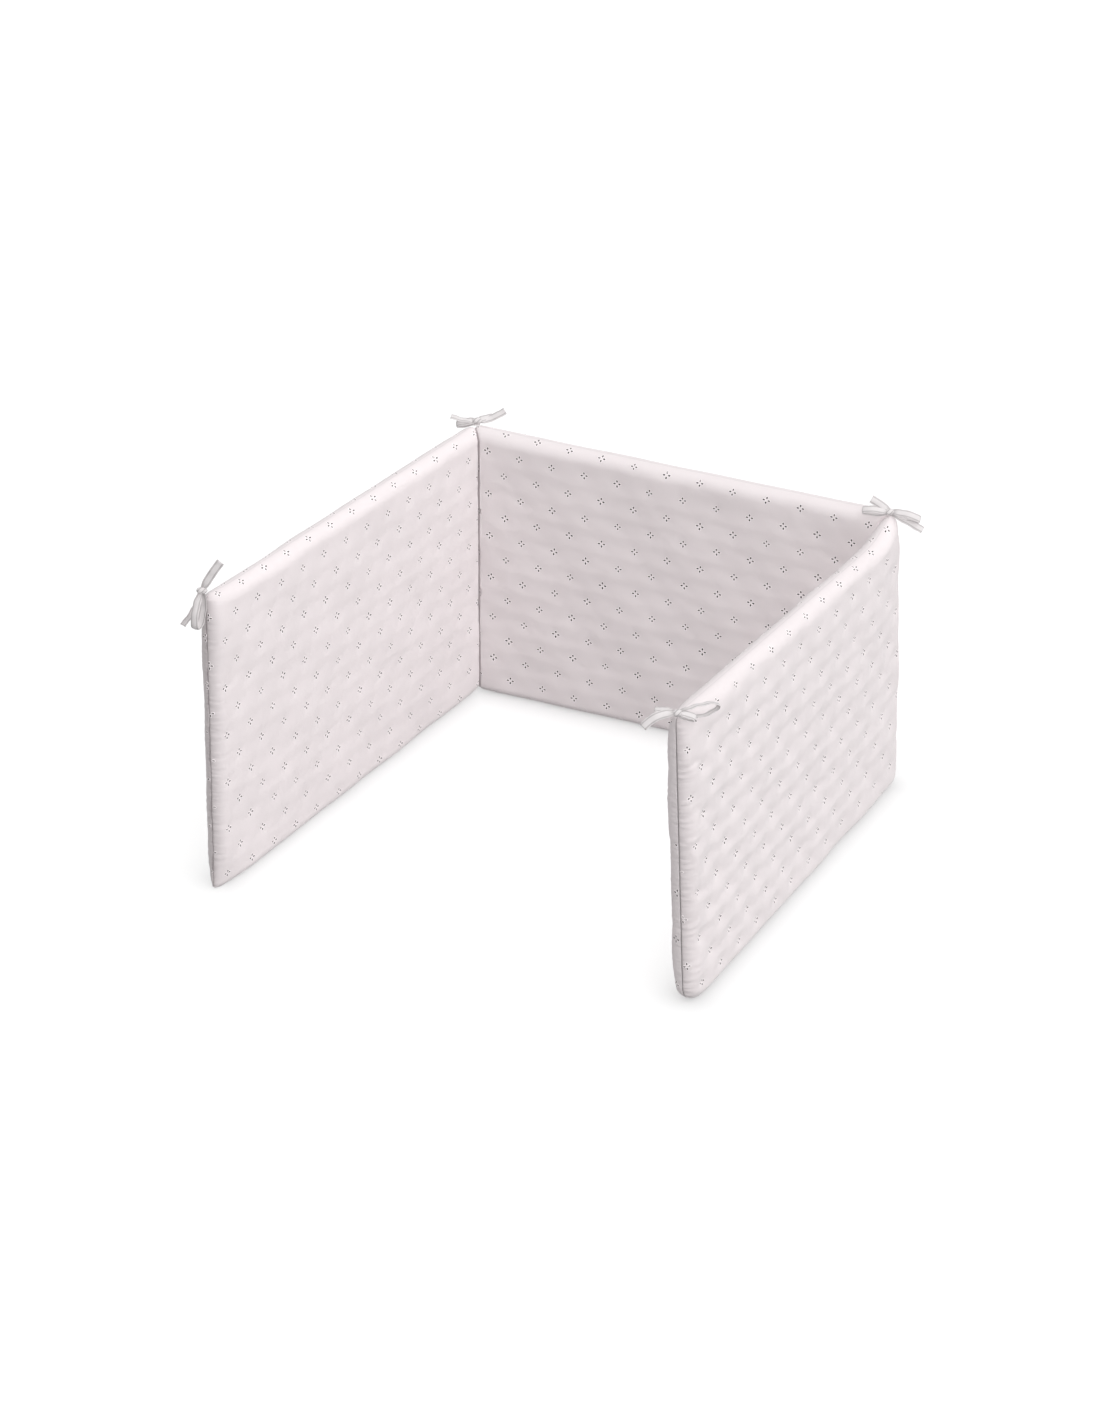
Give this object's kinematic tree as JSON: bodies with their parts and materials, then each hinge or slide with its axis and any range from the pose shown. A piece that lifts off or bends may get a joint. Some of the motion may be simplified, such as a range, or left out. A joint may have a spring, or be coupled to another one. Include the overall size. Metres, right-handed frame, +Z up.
{
  "type": "crib bumper",
  "caption": "Padded cloth crib bumper standing in a U: soft side and back panels with rounded edges and a small ribbon bow at each top corner.",
  "frame": {"origin": "on the floor, under the middle of the whole part's box", "axes": "+X along the back panel from the left panel to the right one, +Y from the open front to the back panel, +Z up"},
  "size_m": [0.7528, 0.6448, 0.4516],
  "materials": {
    "pad_cloth": "matt woven cotton, very pale pink, over soft filling",
    "ribbon": "matt folded and stitched cotton ribbon, very pale pink"
  },
  "bodies": {
    "root": {"panel_left": "pad_cloth", "panel_back": "pad_cloth", "panel_right": "pad_cloth", "tie_front_left": "ribbon", "tie_back_left": "ribbon", "tie_back_right": "ribbon", "tie_front_right": "ribbon"}
  },
  "joints": []
}
